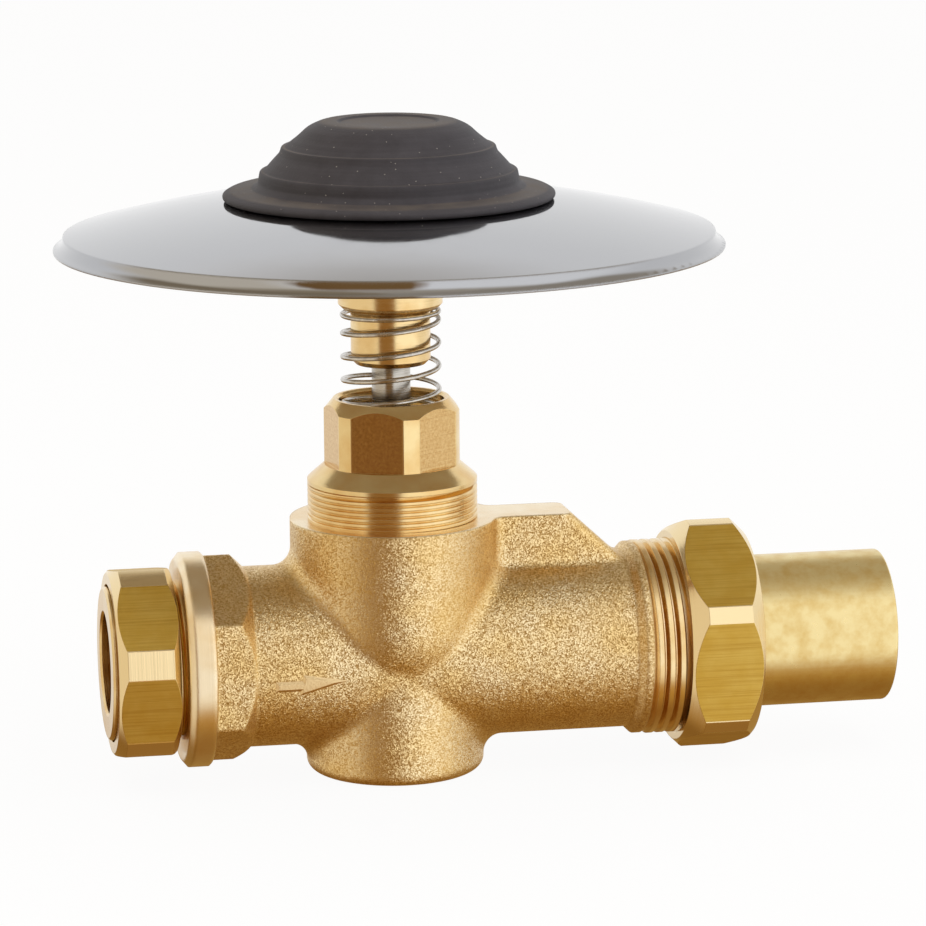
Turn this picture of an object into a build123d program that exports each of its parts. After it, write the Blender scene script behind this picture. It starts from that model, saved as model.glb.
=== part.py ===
"""Pedal flush valve: a cast brass body with a spring-loaded foot pedal on top.

Frame: the origin is the centre of the flat foot under the body, +Z runs up the stem,
and +X follows the flow from the inlet to the outlet. Millimetres throughout.
"""
import os
from math import radians, sqrt, tan

from build123d import *

# Pipe run of the cast body
axis_height = 22.0            # foot to pipe axis
pipe_diameter = 32.8
outlet_bore = 24.8
boss_diameter = 37.4          # upright boss that takes the headwork
boss_rise = 24.8              # pipe axis to machined boss face
globe_rise = 8.0              # pipe axis to the centre of the boss's round lower end
foot_diameter = 32.4
foot_edge_radius = 2.2
foot_floor = 3.2              # wall under the lower chamber
cast_fillet = 3.5
rib_width = 10.6
rib_slope = 43.0              # degrees below level
rib_margin = 1.6              # lower end of the slope to the outlet thread
rib_nose_radius = 4.0         # between flat top and slope
rib_edge_radius = 1.4         # cast edges along the rib
rib_fillet = 2.5
machining_allowance = 1.5     # cast height faced off the rib
feeder_height = 8.0           # cast above the boss and cut off with it

# Inlet end of the body
inlet_reach = 39.7            # stem axis to inlet face
inlet_flange_diameter = 39.0
inlet_flange_width = 4.9
inlet_flange_bevel = 1.2      # across, at the face
inlet_flange_bevel_run = 1.0  # along the pipe
cast_hex_flats = 33.3
cast_hex_width = 7.4
cast_hex_edge_radius = 1.0
inlet_thread_diameter = 29.0
inlet_thread_pitch = 1.5
inlet_socket_depth = 11.0
supply_pipe_diameter = 18.0
supply_pipe_clearance = 0.15
pipe_stop_bore = 16.0
pipe_socket_depth = 2.6       # straight socket between olive seat and pipe stop

# Outlet end of the body
outlet_reach = 58.0           # stem axis to outlet face
outlet_thread_diameter = 35.8
outlet_thread_pitch = 2.0
outlet_thread_length = 13.3
outlet_collar_diameter = 35.4
outlet_collar_width = 1.2

# Chambers inside the body
chamber_diameter = 26.4
open_clearance = 1.0          # stem tip above the chamber floor with the pedal down
web_thickness = 5.0
ledge_drop = 9.6              # boss face to the ledge under the headwork
port_width = 19.0
port_height = 8.0
port_corner = 3.0
port_overlap = 2.0            # passages run on into the pipe bores
chamber_wall = 4.4            # wall between the chambers and the pipe bores

# Headwork
head_thread_diameter = 30.8
head_thread_pitch = 1.5
head_thread_show = 6.5        # thread left standing above the boss face
head_land_height = 1.2
head_shoulder_height = 2.3
head_hex_flats = 22.7
head_hex_diameter = 24.7      # bar size, turned round at the corners
head_hex_height = 12.0
head_hex_turn = 7.0           # degrees, as tightened
head_top_chamfer = 2.2        # down the corners
head_chamfer_angle = 40.0     # degrees from the stem
cup_diameter = 19.0
cup_depth = 3.4
head_gasket_thickness = 1.2
head_gasket_width = 1.2
cage_wall = 2.0
window_count = 4
window_width = 11.0
window_height = 5.0

# Stem seals
stem_diameter = 7.0
seal_section = 2.6
seal_spacer_height = 3.0
gland_height = 5.0

# Seat and valve disc
seat_bore = 16.0
seat_lip_width = 1.2
seat_lip_height = 0.6
seat_spigot_height = 3.0
seat_ring_height = 6.0
seat_o_ring_section = 2.0
disc_diameter = 21.0
disc_thickness = 3.6
disc_rim = 0.8
washer_thickness = 3.0
washer_recess = 2.0
stem_spigot_diameter = 5.0
disc_nut_flats = 8.0
disc_nut_height = 3.2
stem_tip = 0.6                # spigot shown below the nut

# Plunger and return spring
travel = 8.0
plunger_clearance = 1.6       # plunger above the cup floor with the pedal down
plunger_diameter = 14.4
plunger_length = 10.1
plunger_chamfer = 0.9
plunger_head_diameter = 18.9
plunger_head_height = 20.1
stem_grip = 12.0              # stem screwed into the plunger
wire_diameter = 0.9
wire_sides = 8                # facets round the wire
spring_diameter = 18.3
spring_pitch = 4.25
spring_start = 80.0           # degrees, where the lower end of the wire lies

# Pedal plate and pad
plate_diameter = 120.4
plate_thickness = 1.2
dome_radius = 226.0
plate_seat_diameter = 24.0    # flat pressed at the crown
plate_rim_drop = 0.3          # straight edge below the rolled rim
plate_rim_radius = 2.4
retainer_diameter = 30.0
retainer_thickness = 1.6
retainer_hub_diameter = 19.0
retainer_hub_height = 3.0
plate_screw_diameter = 6.0
plate_screw_length = 16.0
plate_screw_head_diameter = 12.0
plate_screw_head_height = 3.0
plate_screw_socket = 3.2      # across the flats of the key socket
plate_screw_socket_depth = 1.6
pad_flange_diameter = 59.6
pad_flange_thickness = 2.2
pad_body_diameter = 46.6
pad_body_height = 2.8
pad_ridge_diameter = 38.8
pad_ridge_height = 1.4
pad_ledge = 0.9               # set-back above the body and above the ridge
pad_lower_cone = 3.4          # height of the cone between body and ridge
pad_upper_cone = 2.8          # height of the cone above the ridge
pad_shoulder_diameter = 29.2
pad_top_diameter = 24.2
pad_crown_height = 1.1        # rounding from the shoulder to the top
pad_recess_diameter = 18.0
pad_recess_depth = 0.4
pad_crown_wall = 3.0

# Inlet screw, ring and olive
inlet_hex_flats = 33.4
inlet_hex_diameter = 36.0
inlet_hex_width = 11.1
inlet_hex_turn = 41.0         # degrees, as tightened
inlet_front_chamfer = 1.5     # along the pipe at the corners
inlet_back_chamfer = 1.3
inlet_neck = 1.3              # thread left standing outside the flange
inlet_engagement = 8.0
inlet_mouth_diameter = 28.6
inlet_ring_diameter = 27.8
inlet_ring_length = 6.0
inlet_ring_stand = 0.8        # ring standing out of the screw
olive_diameter = 24.0
olive_length = 5.0
olive_bevel = 2.0

# Union nut, gasket and tail
nut_flats = 39.4
nut_diameter = 43.9
nut_width = 13.5
nut_turn = -8.5               # degrees, as tightened
nut_chamfer = 2.7             # along the pipe at the corners
nut_lip = 2.7
nut_mouth_diameter = 36.0
union_gasket_thickness = 1.8
tail_diameter = 28.0
tail_wall = 1.5
tail_length = 31.6
tail_collar_diameter = 32.4
tail_collar_width = 2.5
tail_hub_diameter = 28.6      # step that centres the tail in the nut
tail_edge_radius = 0.4

# Clearances, all radial or axial gaps
running_clearance = 0.05      # stem in its guides
thread_clearance = 0.05       # between screwed pieces, both drawn at the thread root
seating_clearance = 0.05      # rings dropped into their seats
seat_gap = 0.05               # washer under the seat lip at rest
pad_clearance = 0.5           # rubber pad over the plate
thread_depth = 0.613          # of the pitch, for 60 degree threads
edge_break = 0.4              # small chamfers on turned edges
overrun = 1.0                 # how far a cutter runs past the face it enters

# Heights along the stem, worked out from the sizes above
disc_stack = washer_thickness - washer_recess + disc_thickness + disc_nut_height + stem_tip
web_bottom = foot_floor + open_clearance + travel + disc_stack + seat_gap + seat_lip_height
web_top = web_bottom + web_thickness
boss_face = axis_height + boss_rise
ledge = boss_face - ledge_drop
land_bottom = boss_face + head_thread_show
land_top = land_bottom + head_land_height
hex_bottom = land_top + head_shoulder_height
hex_top = hex_bottom + head_hex_height
cup_floor = hex_top - cup_depth
plunger_bottom = cup_floor + plunger_clearance + travel
plunger_shoulder = plunger_bottom + plunger_length
plate_underside = plunger_shoulder + plunger_head_height
plate_crown = plate_underside + plate_thickness
head_end = ledge + head_gasket_thickness
seat_ring_bottom = web_bottom
seat_ring_top = seat_ring_bottom + seat_ring_height
seat_lip = seat_ring_bottom - seat_lip_height
washer_top = seat_lip - seat_gap
disc_top = washer_top - washer_thickness + washer_recess
disc_bottom = disc_top - disc_thickness
nut_bottom = disc_bottom - disc_nut_height
stem_bottom = nut_bottom - stem_tip
gland_bottom = cup_floor - gland_height
upper_seal_bottom = gland_bottom - seal_section
spacer_bottom = upper_seal_bottom - seal_spacer_height
lower_seal_bottom = spacer_bottom - seal_section

# Places along the pipe run
thread_start = outlet_reach - outlet_thread_length
collar_face = outlet_reach + union_gasket_thickness
nut_shoulder = collar_face + tail_collar_width
nut_end = nut_shoulder + nut_lip
flange_back = -inlet_reach + inlet_flange_width
cast_hex_end = flange_back + cast_hex_width
socket_end = -inlet_reach + inlet_socket_depth
inlet_hex_back = -inlet_reach - inlet_neck
inlet_hex_face = inlet_hex_back - inlet_hex_width
ring_face = inlet_hex_face - inlet_ring_stand
screw_end = -inlet_reach + inlet_engagement

# Radii used by more than one piece
pipe_radius = pipe_diameter / 2
stem_radius = stem_diameter / 2
guide_radius = stem_radius + running_clearance
head_root = head_thread_diameter / 2 - thread_depth * head_thread_pitch
inlet_root = inlet_thread_diameter / 2 - thread_depth * inlet_thread_pitch
outlet_root = outlet_thread_diameter / 2 - thread_depth * outlet_thread_pitch
supply_radius = supply_pipe_diameter / 2 + supply_pipe_clearance
seal_chamber_radius = guide_radius + seal_section + seating_clearance
seat_ring_radius = (chamber_diameter - head_gasket_width) / 2
seat_spigot_radius = seat_ring_radius - cage_wall
spring_radius = (spring_diameter - wire_diameter) / 2

# Rib between the boss and the outlet thread
rib_top = boss_face + machining_allowance
rib_bottom = axis_height + sqrt(pipe_radius**2 - (rib_width / 2) ** 2) - overrun
rib_reach = thread_start - rib_margin - (rib_top - rib_bottom) / tan(radians(rib_slope))


def turned(outline):
    """Solid of revolution about the stem from (radius, height) points."""
    return revolve(make_face(Plane.XZ * Polyline(*outline, close=True)), Axis.Z)


def turned_run(outline):
    """Solid of revolution about the pipe axis from (x, radius) points."""
    blank = revolve(make_face(Plane.XZ * Polyline(*outline, close=True)), Axis.X)
    return Pos(0, 0, axis_height) * blank


def ring(inner, outer, low, high):
    """Plain ring about the stem."""
    return turned([(inner, low), (outer, low), (outer, high), (inner, high)])


def ring_run(inner, outer, start, end):
    """Plain ring about the pipe axis."""
    return turned_run([(start, inner), (start, outer), (end, outer), (end, inner)])


def round_ring(inner, section, low):
    """O-ring about the stem: a torus of round section."""
    radius = section / 2
    return Pos(0, 0, low + radius) * Torus(inner + radius, radius)


def hex_bar(flats, low, high, turn):
    """Hexagon bar about the stem, with one flat's normal turned from +X."""
    outline = RegularPolygon(flats / 2, 6, major_radius=False, rotation=turn + 30)
    return Pos(0, 0, low) * extrude(outline, high - low)


def hex_run(flats, start, end, turn, edge_radius=0.0):
    """Hexagon bar about the pipe axis, with one flat's normal turned up from -Y."""
    outline = RegularPolygon(flats / 2, 6, major_radius=False, rotation=30)
    if edge_radius > 0:
        outline = fillet(outline.vertices(), edge_radius)
    bar = Rotation(-turn, 0, 0) * (Plane.YZ * extrude(outline, end - start))
    return Pos(start, 0, axis_height) * bar


def dome_height(radius, sphere):
    """Drop of a sphere below its crown at a radius."""
    return sphere - sqrt(sphere**2 - radius**2)


def globe():
    """Upright boss with a round lower end that bulges out of the pipe."""
    radius = boss_diameter / 2
    centre = axis_height + globe_rise
    top = boss_face + feeder_height
    outline = [
        Line((0, top), (radius, top)),
        Line((radius, top), (radius, centre)),
        CenterArc((0, centre), radius, -90, 90),
        Line((0, centre - radius), (0, top)),
    ]
    return revolve(make_face([Plane.XZ * edge for edge in outline]), Axis.Z)


def rib():
    """Rib from the boss to the outlet pipe, with a rounded nose and a sloping end."""
    nose = (rib_reach, rib_top)
    toe = (thread_start - rib_margin, rib_bottom)
    outline = make_face(Polyline((0, rib_bottom), (0, rib_top), nose, toe, close=True))
    outline = fillet(outline.vertices().sort_by_distance(nose)[0], rib_nose_radius)
    bar = extrude(Plane.XZ * outline, rib_width / 2, both=True)
    return fillet(bar.edges().filter_by(GeomType.CIRCLE), rib_edge_radius)


def is_join(edge):
    """True for the curves where the pipe meets the boss or the foot."""
    box = edge.bounding_box()
    inside = box.min.X > flange_back + overrun and box.max.X < thread_start - overrun
    return inside and edge.geom_type == GeomType.BSPLINE


def meets(edge, shape):
    """True where the middle of an edge lies on a shape."""
    return shape.distance_to(edge @ 0.5) < seating_clearance


def casting():
    """Outside of the body, with cast fillets where the forms meet and the top faced flat."""
    run = ring_run(0, pipe_radius, flange_back, thread_start)
    foot = extrude(Circle(foot_diameter / 2), axis_height)
    forms = run + globe() + foot
    forms = fillet([edge for edge in forms.edges() if is_join(edge)], cast_fillet)
    sole = forms.edges().filter_by(GeomType.CIRCLE).group_by(Axis.Z)[0]
    forms = fillet(sole, foot_edge_radius)
    web = rib()
    body = forms + web
    body = fillet([edge for edge in body.edges() if meets(edge, forms) and meets(edge, web)], rib_fillet)
    return body - ring(0, inlet_reach, boss_face, boss_face + feeder_height + overrun)


def inlet_form():
    """Turned flange and cast hexagon of the inlet end."""
    radius = inlet_flange_diameter / 2
    flange = turned_run([
        (-inlet_reach, 0),
        (-inlet_reach, radius - inlet_flange_bevel),
        (-inlet_reach + inlet_flange_bevel_run, radius),
        (flange_back - edge_break, radius),
        (flange_back, radius - edge_break),
        (flange_back, 0),
    ])
    corner = cast_hex_flats / sqrt(3)
    relief = corner - pipe_radius
    blank = turned_run([
        (flange_back, 0),
        (flange_back, corner),
        (cast_hex_end - relief, corner),
        (cast_hex_end, pipe_radius),
        (cast_hex_end, 0),
    ])
    bar = hex_run(cast_hex_flats, flange_back, cast_hex_end, 0, cast_hex_edge_radius)
    return flange + (bar & blank)


def outlet_form():
    """Collar and thread core of the outlet end; the thread stands on the core."""
    radius = outlet_collar_diameter / 2
    flare = radius - pipe_radius
    return turned_run([
        (thread_start - outlet_collar_width - flare, 0),
        (thread_start - outlet_collar_width - flare, pipe_radius),
        (thread_start - outlet_collar_width, radius),
        (thread_start, radius),
        (thread_start + radius - outlet_root, outlet_root),
        (outlet_reach - edge_break, outlet_root),
        (outlet_reach, outlet_root - edge_break),
        (outlet_reach, 0),
    ])


def port(start, end, low):
    """Flat passage along the pipe between a chamber and a pipe bore."""
    outline = RectangleRounded(port_width, port_height, port_corner)
    return Pos(start, 0, low + port_height / 2) * (Plane.YZ * extrude(outline, end - start))


def waterway():
    """Chambers, seat bore and passages that the water runs through."""
    chamber = chamber_diameter / 2
    thread_bore = head_root + thread_clearance
    well = turned([
        (0, foot_floor),
        (chamber - port_corner, foot_floor),
        (chamber, foot_floor + port_corner),
        (chamber, web_bottom),
        (seat_ring_radius + seating_clearance, web_bottom),
        (seat_ring_radius + seating_clearance, web_top),
        (chamber, web_top),
        (chamber, ledge),
        (thread_bore, ledge),
        (thread_bore, boss_face - edge_break),
        (thread_bore + edge_break, boss_face),
        (thread_bore + edge_break, boss_face + overrun),
        (0, boss_face + overrun),
    ])
    bore = outlet_bore / 2
    bore_end = chamber + chamber_wall
    socket = inlet_root + thread_clearance
    cone_end = socket_end + socket - supply_radius
    stop = cone_end + pipe_socket_depth
    inlet = turned_run([
        (-inlet_reach - overrun, 0),
        (-inlet_reach - overrun, socket),
        (socket_end, socket),
        (cone_end, supply_radius),
        (stop, supply_radius),
        (stop, pipe_stop_bore / 2),
        (-bore_end, pipe_stop_bore / 2),
        (-bore_end, 0),
    ])
    outlet = ring_run(0, bore, bore_end, outlet_reach + overrun)
    low_port = port(-bore_end - port_overlap, 0, web_bottom - port_height - edge_break)
    high_port = port(0, bore_end + port_overlap, web_top + edge_break)
    return [well, inlet, outlet, low_port, high_port]


def valve_body():
    """One brass casting, machined at the boss, inlet and outlet."""
    body = casting() + inlet_form() + outlet_form()
    for passage in waterway():
        body -= passage
    return body


def headwork():
    """Turned hexagon piece that screws into the boss and carries the seat in a cage."""
    bar_radius = head_hex_diameter / 2
    land = head_thread_diameter / 2
    cage = seat_ring_radius
    chamfer = head_top_chamfer * tan(radians(head_chamfer_angle))
    blank = turned([
        (0, seat_ring_top),
        (cage, seat_ring_top),
        (cage, head_end),
        (head_root, head_end),
        (head_root, land_bottom),
        (land, land_bottom),
        (land, land_top - edge_break),
        (land - edge_break, land_top),
        (bar_radius, hex_bottom),
        (bar_radius, hex_top - head_top_chamfer),
        (bar_radius - chamfer, hex_top),
        (0, hex_top),
    ])
    flats = hex_bar(head_hex_flats, hex_bottom, hex_top, head_hex_turn)
    collar = ring(0, head_thread_diameter, seat_ring_top, hex_bottom)
    piece = blank & (flats + collar)
    cup = cup_diameter / 2
    piece -= turned([
        (0, cup_floor),
        (cup, cup_floor),
        (cup, hex_top - edge_break),
        (cup + edge_break, hex_top),
        (cup + edge_break, hex_top + overrun),
        (0, hex_top + overrun),
    ])
    piece -= ring(0, seal_chamber_radius, lower_seal_bottom, cup_floor + overrun)
    piece -= ring(0, guide_radius, seat_ring_top, cup_floor)
    piece -= ring(0, cage - cage_wall, seat_ring_top - overrun, head_end)
    window_low = head_end - window_height - edge_break
    for index in range(window_count):
        window = Box(2 * cage, window_width, window_height, align=(Align.MIN, Align.CENTER, Align.MIN))
        piece -= Rotation(0, 0, (index + 0.5) * 360 / window_count) * (Pos(0, 0, window_low) * window)
    return piece


def head_gasket():
    """Flat ring between the headwork and the ledge in the boss."""
    outer = head_root - thread_clearance
    return ring(outer - head_gasket_width, outer, ledge, head_end)


def seal_spacer():
    """Brass ring between the two stem seals."""
    return ring(guide_radius, seal_chamber_radius - seating_clearance, spacer_bottom, upper_seal_bottom)


def gland():
    """Screwed bush that closes the seal chamber and guides the stem."""
    outer = seal_chamber_radius - thread_clearance
    return turned([
        (guide_radius, gland_bottom),
        (outer, gland_bottom),
        (outer, cup_floor),
        (guide_radius + edge_break, cup_floor),
        (guide_radius, cup_floor - edge_break),
    ])


def stem_seal(low):
    """O-ring that runs on the stem inside the seal chamber."""
    return round_ring(guide_radius, seal_section, low)


def seat_groove():
    """Low edge, high edge and floor radius of the groove round the seat ring."""
    low = seat_ring_bottom + (web_thickness - seat_o_ring_section) / 2
    return low, low + seat_o_ring_section, seat_ring_radius - seat_o_ring_section


def seat_ring():
    """Seat with a raised lip below, screwed into the cage from underneath."""
    bore = seat_bore / 2
    lip = bore + seat_lip_width
    groove_low, groove_high, groove_floor = seat_groove()
    spigot = seat_spigot_radius - thread_clearance
    top = seat_ring_top + seat_spigot_height
    return turned([
        (bore, seat_lip),
        (lip, seat_lip),
        (lip, seat_ring_bottom),
        (seat_ring_radius, seat_ring_bottom),
        (seat_ring_radius, groove_low - seating_clearance),
        (groove_floor, groove_low - seating_clearance),
        (groove_floor, groove_high + seating_clearance),
        (seat_ring_radius, groove_high + seating_clearance),
        (seat_ring_radius, seat_ring_top),
        (spigot, seat_ring_top),
        (spigot, top),
        (bore, top),
    ])


def seat_o_ring():
    """O-ring in the groove of the seat ring, against the web."""
    low, _, floor = seat_groove()
    return round_ring(floor, seat_o_ring_section, low)


def stem():
    """Steel stem with a spigot for the valve disc."""
    spigot = stem_spigot_diameter / 2
    top = plunger_bottom + stem_grip
    return turned([
        (0, stem_bottom),
        (spigot - edge_break, stem_bottom),
        (spigot, stem_bottom + edge_break),
        (spigot, washer_top),
        (stem_radius, washer_top),
        (stem_radius, top - edge_break),
        (stem_radius - edge_break, top),
        (0, top),
    ])


def valve_disc():
    """Brass cup that backs the rubber washer."""
    radius = disc_diameter / 2
    recess = radius - disc_rim
    floor = disc_top - washer_recess
    hole = stem_spigot_diameter / 2 + seating_clearance
    return turned([
        (hole, disc_bottom),
        (radius - edge_break, disc_bottom),
        (radius, disc_bottom + edge_break),
        (radius, disc_top),
        (recess, disc_top),
        (recess, floor),
        (hole, floor),
    ])


def valve_washer():
    """Rubber washer that closes against the seat lip."""
    hole = stem_spigot_diameter / 2 + seating_clearance
    outer = disc_diameter / 2 - disc_rim - seating_clearance
    return ring(hole, outer, washer_top - washer_thickness, washer_top)


def disc_nut():
    """Hexagon nut that clamps disc and washer on the stem."""
    hole = stem_spigot_diameter / 2 + thread_clearance
    return hex_bar(disc_nut_flats, nut_bottom, disc_bottom, 0) - ring(0, hole, nut_bottom, disc_bottom)


def plunger():
    """Brass button turned from bar: the head carries the plate, the spring pushes its shoulder."""
    radius = plunger_diameter / 2
    head = plunger_head_diameter / 2
    bevel = plunger_chamfer
    grip = stem_radius + thread_clearance
    tapping = plate_screw_diameter / 2 + thread_clearance
    tapping_end = plate_crown + retainer_hub_height + retainer_thickness - plate_screw_length - edge_break
    return turned([
        (grip, plunger_bottom),
        (radius - bevel, plunger_bottom),
        (radius, plunger_bottom + bevel),
        (radius, plunger_shoulder),
        (head - bevel, plunger_shoulder),
        (head, plunger_shoulder + bevel),
        (head, plate_underside - edge_break),
        (head - edge_break, plate_underside),
        (tapping, plate_underside),
        (tapping, tapping_end),
        (0, tapping_end),
        (0, plunger_bottom + stem_grip),
        (grip, plunger_bottom + stem_grip),
    ])


def return_spring():
    """Right-hand compression spring with its ends ground flat on both seats."""
    height = plunger_shoulder - cup_floor
    spare = spring_pitch / 4
    path = Helix(spring_pitch, height + 2 * spare, spring_radius)
    start = Plane(origin=path @ 0, z_dir=path % 0)
    section = RegularPolygon(wire_diameter / 2, wire_sides, major_radius=False)
    wire = sweep(start * section, path=path, is_frenet=True)
    wire = Rotation(0, 0, spring_start) * (Pos(0, 0, cup_floor - spare) * wire)
    return wire & ring(0, spring_diameter, cup_floor, plunger_shoulder)


def plate_skin(offset):
    """Lines of the plate's section, from the hole to the rim's edge, at a depth below the top skin."""
    sphere = dome_radius - offset
    roll = plate_rim_radius - offset
    flat = plate_seat_diameter / 2
    centre = plate_crown + dome_height(flat, dome_radius) - dome_radius
    roll_x = plate_diameter / 2 - plate_rim_radius
    roll_z = centre + sqrt((sphere - roll) ** 2 - roll_x**2)
    reach = sphere / (sphere - roll)
    tangent = (roll_x * reach, centre + (roll_z - centre) * reach)
    level = plate_crown - offset
    start = (plate_screw_diameter / 2 + seating_clearance, level)
    bend = (sqrt(sphere**2 - (level - centre) ** 2), level)
    middle_x = (bend[0] + tangent[0]) / 2
    middle = (middle_x, centre + sqrt(sphere**2 - middle_x**2))
    edge = (roll_x + roll, roll_z)
    lines = [
        Line(start, bend),
        ThreePointArc(bend, middle, tangent),
        RadiusArc(tangent, edge, -roll),
        Line(edge, (edge[0], roll_z - plate_rim_drop)),
    ]
    return lines, start, lines[-1] @ 1


def pedal_plate():
    """Domed round plate of one thickness, with a flat seat at the crown and a rolled rim."""
    top, top_start, top_end = plate_skin(0)
    under, under_start, under_end = plate_skin(plate_thickness)
    outline = top + under + [Line(top_start, under_start), Line(top_end, under_end)]
    return revolve(make_face([Plane.XZ * line for line in outline]), Axis.Z)


def pad_retainer():
    """Hub and disc that clamp the plate and hold the rubber pad by its inner lip."""
    hole = plate_screw_diameter / 2 + seating_clearance
    hub = retainer_hub_diameter / 2
    rim = retainer_diameter / 2
    shelf = plate_crown + retainer_hub_height
    top = shelf + retainer_thickness
    return turned([(hole, plate_crown), (hub, plate_crown), (hub, shelf), (rim, shelf), (rim, top), (hole, top)])


def plate_screw():
    """Round-headed screw through retainer and plate into the plunger."""
    radius = plate_screw_diameter / 2
    head = plate_screw_head_diameter / 2
    seat = plate_crown + retainer_hub_height + retainer_thickness
    top = seat + plate_screw_head_height
    end = seat - plate_screw_length
    socket = RegularPolygon(plate_screw_socket / 2, 6, major_radius=False)
    screw = turned([
        (0, end),
        (radius - edge_break, end),
        (radius, end + edge_break),
        (radius, seat),
        (head, seat),
        (head, top - edge_break),
        (head - edge_break, top),
        (0, top),
    ])
    return screw - Pos(0, 0, top - plate_screw_socket_depth) * extrude(socket, plate_screw_socket_depth)


def pedal_pad():
    """Moulded rubber pad: flange, body, ridge and crown, hollow over the retainer."""
    flange = pad_flange_diameter / 2
    body = pad_body_diameter / 2
    ridge = pad_ridge_diameter / 2
    shell = dome_radius + pad_clearance
    apex = plate_crown + dome_height(plate_seat_diameter / 2, dome_radius) + pad_clearance
    lip = retainer_hub_diameter / 2 + pad_clearance
    lip_low = plate_crown + pad_clearance
    bend = sqrt(shell**2 - (shell - apex + lip_low) ** 2)
    middle = (bend + flange) / 2
    low = apex - dome_height(flange, shell)
    flange_top = low + pad_flange_thickness
    body_top = flange_top + pad_body_height
    ridge_low = body_top + pad_lower_cone
    ridge_top = ridge_low + pad_ridge_height
    shoulder = ridge_top + pad_upper_cone
    high = shoulder + pad_crown_height
    shelf = plate_crown + retainer_hub_height
    pocket = retainer_diameter / 2 + pad_clearance
    ceiling = high - pad_recess_depth - pad_crown_wall
    edge = pad_flange_thickness / 2
    outline = [
        ThreePointArc((bend, lip_low), (middle, apex - dome_height(middle, shell)), (flange - edge_break, low)),
        Polyline(
            (flange - edge_break, low),
            (flange, low + edge_break),
            (flange, low + edge),
            (flange - edge, flange_top),
            (body + pad_ledge, flange_top),
            (body, flange_top + pad_ledge),
            (body, body_top),
            (body - pad_ledge, body_top + edge_break / 2),
            (ridge, ridge_low),
            (ridge, ridge_top),
            (ridge - pad_ledge, ridge_top + edge_break / 2),
            (pad_shoulder_diameter / 2, shoulder),
            (pad_top_diameter / 2, high),
            (pad_recess_diameter / 2, high),
            (pad_recess_diameter / 2, high - pad_recess_depth),
            (0, high - pad_recess_depth),
            (0, ceiling),
            (plate_screw_head_diameter / 2 + pad_clearance, ceiling),
            (pocket, shelf + retainer_thickness + pad_clearance),
            (pocket, shelf - seating_clearance),
            (lip, shelf - seating_clearance),
            (lip, lip_low),
            (bend, lip_low),
        ),
    ]
    return revolve(make_face([Plane.XZ * line for line in outline]), Axis.Z)


def inlet_screw():
    """Hexagon screw of the compression inlet, with a wide mouth for the ring."""
    radius = inlet_hex_diameter / 2
    flat = inlet_hex_flats / 2
    blank = turned_run([
        (inlet_hex_face, 0),
        (inlet_hex_face, flat - edge_break),
        (inlet_hex_face + inlet_front_chamfer, radius),
        (inlet_hex_back - inlet_back_chamfer, radius),
        (inlet_hex_back, flat),
        (inlet_hex_back, 0),
    ])
    head = blank & hex_run(inlet_hex_flats, inlet_hex_face, inlet_hex_back, inlet_hex_turn)
    shank = ring_run(0, inlet_root, inlet_hex_back, screw_end)
    piece = head + shank
    piece -= ring_run(0, supply_radius, inlet_hex_face, screw_end)
    return piece - ring_run(0, inlet_mouth_diameter / 2, inlet_hex_face, ring_face + inlet_ring_length)


def inlet_ring():
    """Ring seated in the mouth of the inlet screw, bored for the supply pipe."""
    outer = inlet_ring_diameter / 2
    end = ring_face + inlet_ring_length
    return turned_run([
        (ring_face, supply_radius + edge_break),
        (ring_face, outer - edge_break),
        (ring_face + edge_break, outer),
        (end, outer),
        (end, supply_radius),
        (ring_face + edge_break, supply_radius),
    ])


def inlet_olive():
    """Barrel-shaped ring that the screw squeezes on the pipe against the cone in the body."""
    outer = olive_diameter / 2
    low = screw_end
    high = low + olive_length
    return turned_run([
        (low, supply_radius),
        (low, outer - olive_bevel),
        (low + olive_bevel, outer),
        (high - olive_bevel, outer),
        (high, outer - olive_bevel),
        (high, supply_radius),
    ])


def union_nut():
    """Hexagon nut that draws the tail against the outlet face."""
    radius = nut_diameter / 2
    start = nut_end - nut_width
    mouth = nut_mouth_diameter / 2
    face = nut_flats / 2 - edge_break
    blank = turned_run([
        (start, 0),
        (start, face),
        (start + nut_chamfer, radius),
        (nut_end - nut_chamfer, radius),
        (nut_end, face),
        (nut_end, 0),
    ])
    nut = blank & hex_run(nut_flats, start, nut_end, nut_turn)
    thread = outlet_root + thread_clearance
    bore = tail_hub_diameter / 2 + seating_clearance
    return nut - turned_run([
        (start - overrun, 0),
        (start - overrun, mouth),
        (start, mouth),
        (start + mouth - thread, thread),
        (nut_shoulder, thread),
        (nut_shoulder, bore),
        (nut_end + overrun, bore),
        (nut_end + overrun, 0),
    ])


def union_gasket():
    """Flat ring between the outlet face and the tail's collar."""
    return ring_run(outlet_bore / 2, tail_collar_diameter / 2, outlet_reach, collar_face)


def outlet_tail():
    """Drawn tube with a collar, held by the union nut."""
    outer = tail_diameter / 2
    inner = outer - tail_wall
    collar = tail_collar_diameter / 2
    hub = tail_hub_diameter / 2
    end = collar_face + tail_length
    tube = turned_run([
        (collar_face, inner),
        (collar_face, collar),
        (nut_shoulder, collar),
        (nut_shoulder, hub),
        (nut_end, hub),
        (nut_end, outer),
        (end, outer),
        (end, inner),
    ])
    mouth = tube.edges().filter_by(GeomType.CIRCLE).group_by(Axis.X)[-1]
    return fillet(mouth, tail_edge_radius)


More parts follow.
